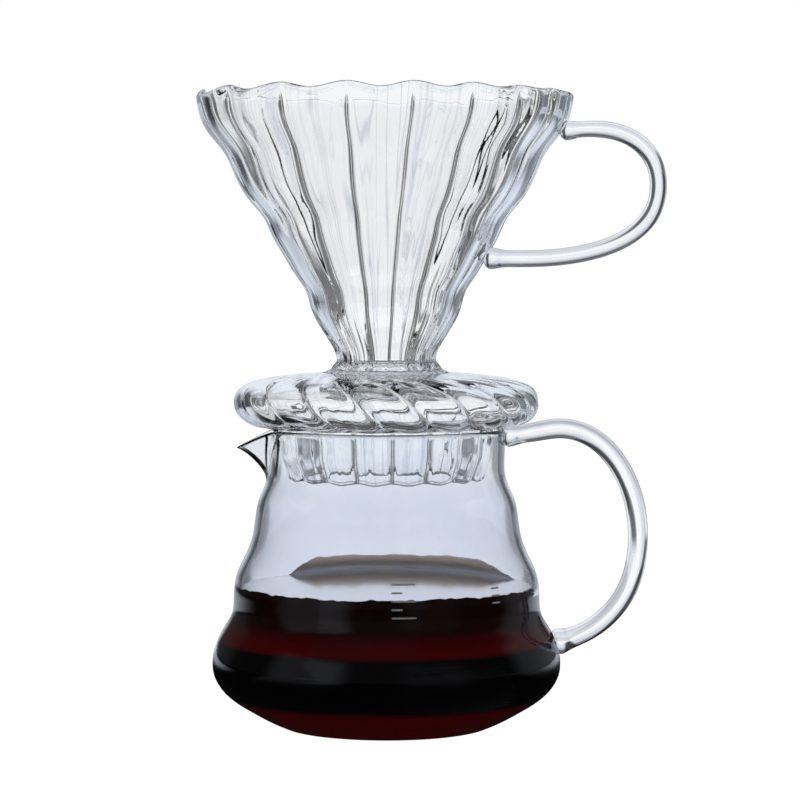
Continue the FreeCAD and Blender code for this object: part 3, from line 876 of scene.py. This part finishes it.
# ------------------------------------------------------------------ studio
# The white field, seen through the glass
STRIPS = 8                # dark strips once round
STRIP_SHADES = [(0.0, 0.10), (0.14, 0.13), (0.22, 0.34), (0.30, 0.42), (0.40, 0.95), (0.50, 1.0)]
BAND_SHADES = [(0.0, 1.0), (0.62, 1.0), (0.70, 0.2), (0.90, 0.2), (0.96, 0.9)]    # from below to overhead

# The dark room with soft boxes, which the glass mirrors. Each pair is where a light fades in.
BOX_AZIMUTH = math.radians(56.5)
LEFT_BOX = (0.35, 0.85)
RIGHT_BOX = (0.6, 0.9)
RIGHT_BOX_LIGHT = 0.2
BOX_BOTTOM = (-0.12, 0.0)
BOX_TOP = (-0.62, -0.45)
AHEAD = (0.90, 0.985)     # the lit backdrop behind the object
OVERHEAD = (0.3, 0.5)     # the lit ceiling behind it, by height and by direction
OVERHEAD_BEHIND = (0.75, 0.95)
BOX_LIGHT = 0.22
ROOM_LIGHT = 0.03
BACKDROP_LIGHT = 0.92
ROOM_HUE = (0.86, 0.92, 1.0)

# The floor, in metres from the object's middle
FLOOR_RINGS = [0.05, 0.2, 0.6, 1.5, 4.0]
FLOOR_COLUMNS = 96
FLOOR_GAP = 0.0001        # the floor lies this far under the object
FLOOR_STRIPS = (0.46, 0.70)
RING_INNER = (0.10, 0.14)
RING_OUTER = (0.34, 0.28)
RING_SHADE = -0.3
FAR_SECTOR = (0.80, 1.0)  # the mirrored floor's lit sectors behind the object, as cosines
NEAR_SECTOR = (0.3, 0.8)
NEAR_OUTER = (0.80, 0.45)
NEAR_INNER = (0.16, 0.30)
FAR_LIGHT = 0.5
NEAR_LIGHT = 0.8
FLOOR_BOXES = (0.08, 0.35)
FLOOR_BOX_LIGHT = 0.2
FLOOR_DIM = 0.006
FLOOR_HUE = (0.82, 0.89, 1.0)


def mirrored_path(tree):
    """1 for light that reached the eye by a reflection in the first wall of glass, and 0 for other light."""
    path = tree.nodes.new("ShaderNodeLightPath")
    mirrored = add_math(tree, "GREATER_THAN", path.outputs["Glossy Depth"], 0.5)
    first_wall = 3.5      # surfaces passed: 4 or more when a further wall did the mirroring
    shallow = add_math(tree, "LESS_THAN", path.outputs["Transmission Depth"], first_wall)
    return path, add_math(tree, "MULTIPLY", mirrored, shallow)


def dark_strips(tree, x, y):
    """The white field's brightness by compass direction: a dark strip in each eighth of a turn."""
    turned = add_math(tree, "MULTIPLY", add_math(tree, "ARCTAN2", x, y), float(STRIPS))
    wave = add_math(tree, "COSINE", turned)
    return ramp(tree, add_math(tree, "MULTIPLY_ADD", wave, 0.5, 0.5), STRIP_SHADES)


def box_sides(tree, x, y):
    """The soft boxes' brightness by compass direction: one at the front left, a dimmer one at the right."""
    turned = add_math(tree, "MULTIPLY_ADD", add_math(tree, "ARCTAN2", x, y), 2.0, -BOX_AZIMUTH * 2)
    halves = add_math(tree, "COSINE", turned)
    left_box = step_between(tree, halves, *LEFT_BOX)
    right_box = step_between(tree, add_math(tree, "MULTIPLY", halves, -1.0), *RIGHT_BOX)
    return add_math(tree, "MULTIPLY_ADD", right_box, RIGHT_BOX_LIGHT, left_box)


def white_field(tree, x, y, z):
    """What shows through the glass: white, with dark strips and a band that draw its edges."""
    upward = add_math(tree, "MULTIPLY_ADD", z, 0.5, 0.5)
    return add_math(tree, "MULTIPLY", dark_strips(tree, x, y), ramp(tree, upward, BAND_SHADES))


def dark_room(tree, x, y, z):
    """What the glass mirrors: soft boxes at the sides, and a lit backdrop and ceiling behind the object."""
    above = step_between(tree, z, *BOX_BOTTOM)
    below = step_between(tree, add_math(tree, "MULTIPLY", z, -1.0), *BOX_TOP)
    boxes = add_math(tree, "MULTIPLY", box_sides(tree, x, y), add_math(tree, "MULTIPLY", above, below))
    level_part = add_math(tree, "SQRT", add_math(tree, "SUBTRACT", 1.0, add_math(tree, "MULTIPLY", z, z)))
    ahead = step_between(tree, add_math(tree, "DIVIDE", y, level_part), *AHEAD)
    high = step_between(tree, z, *OVERHEAD)
    behind = step_between(tree, add_math(tree, "MULTIPLY_ADD", z, 0.5, y), *OVERHEAD_BEHIND)
    backdrop = add_math(tree, "MAXIMUM", ahead, add_math(tree, "MULTIPLY", high, behind))
    room = add_math(tree, "MULTIPLY_ADD", boxes, BOX_LIGHT, ROOM_LIGHT)
    return add_math(tree, "MAXIMUM", add_math(tree, "MULTIPLY", backdrop, BACKDROP_LIGHT), room)


def studio_world():
    """The white field and the dark room. The camera and scattered light see an even white."""
    world = bpy.data.worlds.new("studio")
    bpy.context.scene.world = world
    world.use_nodes = True
    tree = world.node_tree
    background = tree.nodes["Background"]
    x, y, z, _ = axes(tree, "Generated")
    path, mirrored = mirrored_path(tree)
    direct = add_math(tree, "SUBTRACT", 1.0, mirrored)
    seen = add_math(tree, "MULTIPLY", white_field(tree, x, y, z), direct)
    seen = add_math(tree, "MULTIPLY_ADD", dark_room(tree, x, y, z), mirrored, seen)
    scattered = add_math(tree, "GREATER_THAN", path.outputs["Diffuse Depth"], 0.5)
    even = add_math(tree, "MAXIMUM", path.outputs["Is Camera Ray"], scattered)
    tree.links.new(add_math(tree, "MAXIMUM", seen, even), background.inputs["Strength"])
    tree.links.new(ramp(tree, mirrored, [(0.0, WHITE), (1.0, ROOM_HUE)]), background.inputs["Color"])


def floor_seen(tree, x, y, reach, path):
    """The floor's brightness where it isn't mirrored: white, with dark strips far out and a shaded ring."""
    unseen = add_math(tree, "SUBTRACT", 1.0, path.outputs["Is Camera Ray"])
    striped = add_math(tree, "MULTIPLY", step_between(tree, reach, *FLOOR_STRIPS), unseen)
    drop = add_math(tree, "SUBTRACT", dark_strips(tree, x, y), 1.0)
    level = add_math(tree, "MULTIPLY_ADD", drop, striped, 1.0)
    inner = step_between(tree, reach, *RING_INNER)
    ring = add_math(tree, "MULTIPLY", inner, step_between(tree, reach, *RING_OUTER))
    return add_math(tree, "MULTIPLY_ADD", add_math(tree, "MULTIPLY", ring, unseen), RING_SHADE, level)


def floor_mirrored(tree, x, y, reach):
    """The floor's brightness where it is mirrored: dark, but for lit sectors behind and the soft boxes."""
    straight = add_math(tree, "DIVIDE", y, reach)
    far = add_math(tree, "MULTIPLY", step_between(tree, straight, *FAR_SECTOR), FAR_LIGHT)
    near = step_between(tree, straight, *NEAR_SECTOR)
    for limits in (NEAR_OUTER, NEAR_INNER):
        near = add_math(tree, "MULTIPLY", near, step_between(tree, reach, *limits))
    behind = add_math(tree, "MAXIMUM", far, add_math(tree, "MULTIPLY", near, NEAR_LIGHT))
    boxes = add_math(tree, "MULTIPLY", box_sides(tree, x, y), step_between(tree, reach, *FLOOR_BOXES))
    glow = add_math(tree, "MULTIPLY_ADD", boxes, FLOOR_BOX_LIGHT, FLOOR_DIM)
    return add_math(tree, "ADD", behind, glow)


def floor_material():
    """Two glowing surfaces in one: what the floor looks like, and what the glass mirrors of it."""
    material, tree, shader = new_material("floor")
    x, y, _, place = axes(tree, "Object")
    length = tree.nodes.new("ShaderNodeVectorMath")
    length.operation = "LENGTH"
    tree.links.new(place, length.inputs[0])
    reach = length.outputs["Value"]
    path, mirrored = mirrored_path(tree)
    shader.inputs["Base Color"].default_value = (0.1, 0.1, 0.1, 1)
    shader.inputs["Roughness"].default_value = 1.0
    shader.inputs["IOR"].default_value = 1.0
    shader.inputs["Emission Color"].default_value = (*WHITE, 1)
    tree.links.new(floor_seen(tree, x, y, reach, path), shader.inputs["Emission Strength"])
    dim = tree.nodes.new("ShaderNodeEmission")
    dim.inputs["Color"].default_value = (*FLOOR_HUE, 1)
    tree.links.new(floor_mirrored(tree, x, y, reach), dim.inputs["Strength"])
    mix = tree.nodes.new("ShaderNodeMixShader")
    tree.links.new(mirrored, mix.inputs["Fac"])
    tree.links.new(shader.outputs["BSDF"], mix.inputs[1])
    tree.links.new(dim.outputs["Emission"], mix.inputs[2])
    tree.links.new(mix.outputs["Shader"], tree.nodes["Material Output"].inputs["Surface"])
    return material


def studio_floor(height):
    """A wide white floor that falls away to dark in what the glass mirrors."""
    vertices = [(radius * math.cos(turn), radius * math.sin(turn), height)
                for radius in FLOOR_RINGS for turn in around(FLOOR_COLUMNS)[0]]
    faces = grid_faces(len(FLOOR_RINGS), FLOOR_COLUMNS, False).tolist()
    faces.append(list(range(FLOOR_COLUMNS)))
    mesh = bpy.data.meshes.new("floor")
    mesh.from_pydata(vertices, [], faces)
    mesh.materials.append(floor_material())
    floor = bpy.data.objects.new("floor", mesh)
    bpy.context.scene.collection.objects.link(floor)


def camera():
    """The camera stands in front, level with the dripper, and looks a little down along +Y."""
    data = bpy.data.cameras.new("camera")
    data.sensor_width = SENSOR_WIDTH
    data.lens = LENS
    eye = bpy.data.objects.new("camera", data)
    bpy.context.scene.collection.objects.link(eye)
    eye.location = Vector(EYE) * MM
    eye.rotation_euler = (math.radians(90) - EYE_TILT, 0, 0)
    bpy.context.scene.camera = eye


# ------------------------------------------------------------------ scene
clear_glass = glass("clear_glass", **CLEAR_GLASS)
handle_glass = glass("handle_glass", **HANDLE_GLASS_PAINTED_EDGES)

carafe([glass("server_glass", **SERVER_GLASS_WITH_PAINTED_NECK)])
coffee([coffee_side(), coffee_top()])
coffee_film([film()])
scale_marks([ink()])
cone([clear_glass])
foot([clear_glass])
collar([clear_glass])
neck_weld([glass("weld_glass", **WELD_GLASS)])
handle("server_handle_glass", CARAFE_HANDLE, CARAFE_HANDLE_HALF, "server", "carafe_handle",
       [handle_glass])
handle("dripper_handle_glass", DRIPPER_HANDLE, DRIPPER_HANDLE_HALF, "dripper", "dripper_handle",
       [handle_glass])

camera()
studio_world()
studio_floor(cad_box[0].z - FLOOR_GAP)

scene = bpy.context.scene
scene.view_settings.view_transform = "Standard"
scene.cycles.max_bounces = 32
scene.cycles.transmission_bounces = 32
scene.cycles.glossy_bounces = 12
scene.cycles.diffuse_bounces = 3
scene.cycles.transparent_max_bounces = 16
